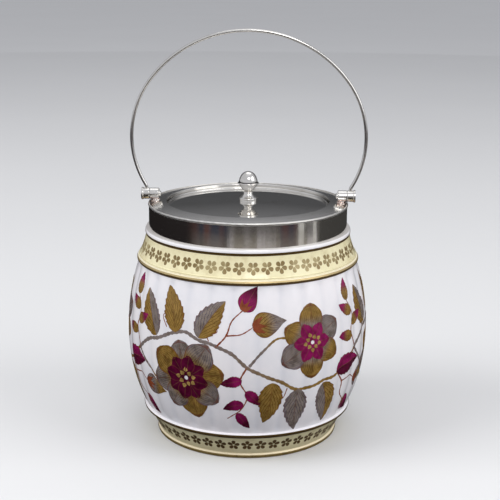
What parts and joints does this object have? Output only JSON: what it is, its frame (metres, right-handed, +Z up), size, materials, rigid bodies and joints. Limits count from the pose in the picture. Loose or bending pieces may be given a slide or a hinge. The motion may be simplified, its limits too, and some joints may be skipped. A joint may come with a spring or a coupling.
{
  "type": "biscuit jar",
  "caption": "Barrel-shaped porcelain biscuit jar with a plated metal rim mount, a domed drop-in lid with a turned finial, and a swinging wire bail handle.",
  "frame": {"origin": "middle of the foot ring, on the surface that the jar stands on", "axes": "+Z up, the jar's axis; +X along the hinge line of the bail"},
  "size_m": [0.1422, 0.1422, 0.2388],
  "materials": {
    "porcelain": "glossy glaze",
    "plaster": "matte",
    "silver_plate": "polished, lightly worn",
    "nickel_silver": "dull"
  },
  "bodies": {
    "jar": {"porcelain_body": "porcelain", "plaster_bed": "plaster", "rim_band": "silver_plate", "rim_edge_wire": "silver_plate", "rim_shoulder": "silver_plate", "bail_post_left": "silver_plate", "bail_post_right": "silver_plate", "hinge_pin_left": "silver_plate", "hinge_pin_right": "silver_plate"},
    "bail": {"bail_wire": "silver_plate", "bail_sleeve_left": "silver_plate", "bail_sleeve_right": "silver_plate"},
    "lid": {"lid_plate": "silver_plate", "lid_rim_wire": "silver_plate", "lid_locating_ring": "silver_plate", "finial": "silver_plate", "finial_washer": "nickel_silver", "finial_nut": "nickel_silver"}
  },
  "joints": [
    {"name": "bail_swing", "type": "hinge", "parent": "jar", "child": "bail", "pos_m": [0, 0, 0.14289], "axis": [1, 0, 0], "range_deg": [-130, 130]},
    {"name": "lid_lift", "type": "slide", "parent": "jar", "child": "lid", "axis": [0, 0, 1], "range_m": [0, 0.07]}
  ]
}
